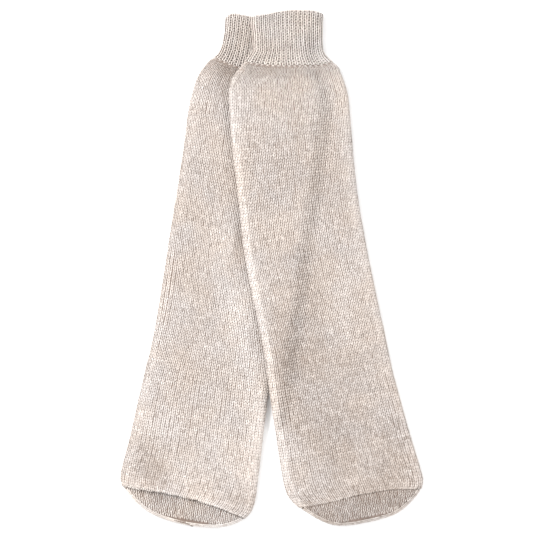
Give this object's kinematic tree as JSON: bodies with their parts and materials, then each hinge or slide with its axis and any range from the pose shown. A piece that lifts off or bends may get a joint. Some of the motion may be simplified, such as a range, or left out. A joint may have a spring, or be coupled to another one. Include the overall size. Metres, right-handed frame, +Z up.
{
  "type": "pair of heelless socks",
  "caption": "Long heelless wool socks with ribbed cuffs and rounded toe caps, laid flat, one lying partly over the other.",
  "frame": {"origin": "middle of the pair's box, on the surface that the socks lie on", "axes": "+Y from the toes to the cuffs, +Z up out of the surface, +X to the right-hand sock"},
  "size_m": [0.2584, 0.4412, 0.0135],
  "materials": {
    "ribbed_wool": "marled oatmeal wool, one by one rib",
    "knitted_wool": "marled oatmeal wool, plain knit with a soft nap",
    "toe_wool": "marled oatmeal wool, plain knit"
  },
  "bodies": {
    "root": {"sock_left_cuff": "ribbed_wool", "sock_left_leg": "knitted_wool", "sock_left_toe": "toe_wool", "sock_right_cuff": "ribbed_wool", "sock_right_leg": "knitted_wool", "sock_right_toe": "toe_wool"}
  },
  "joints": []
}
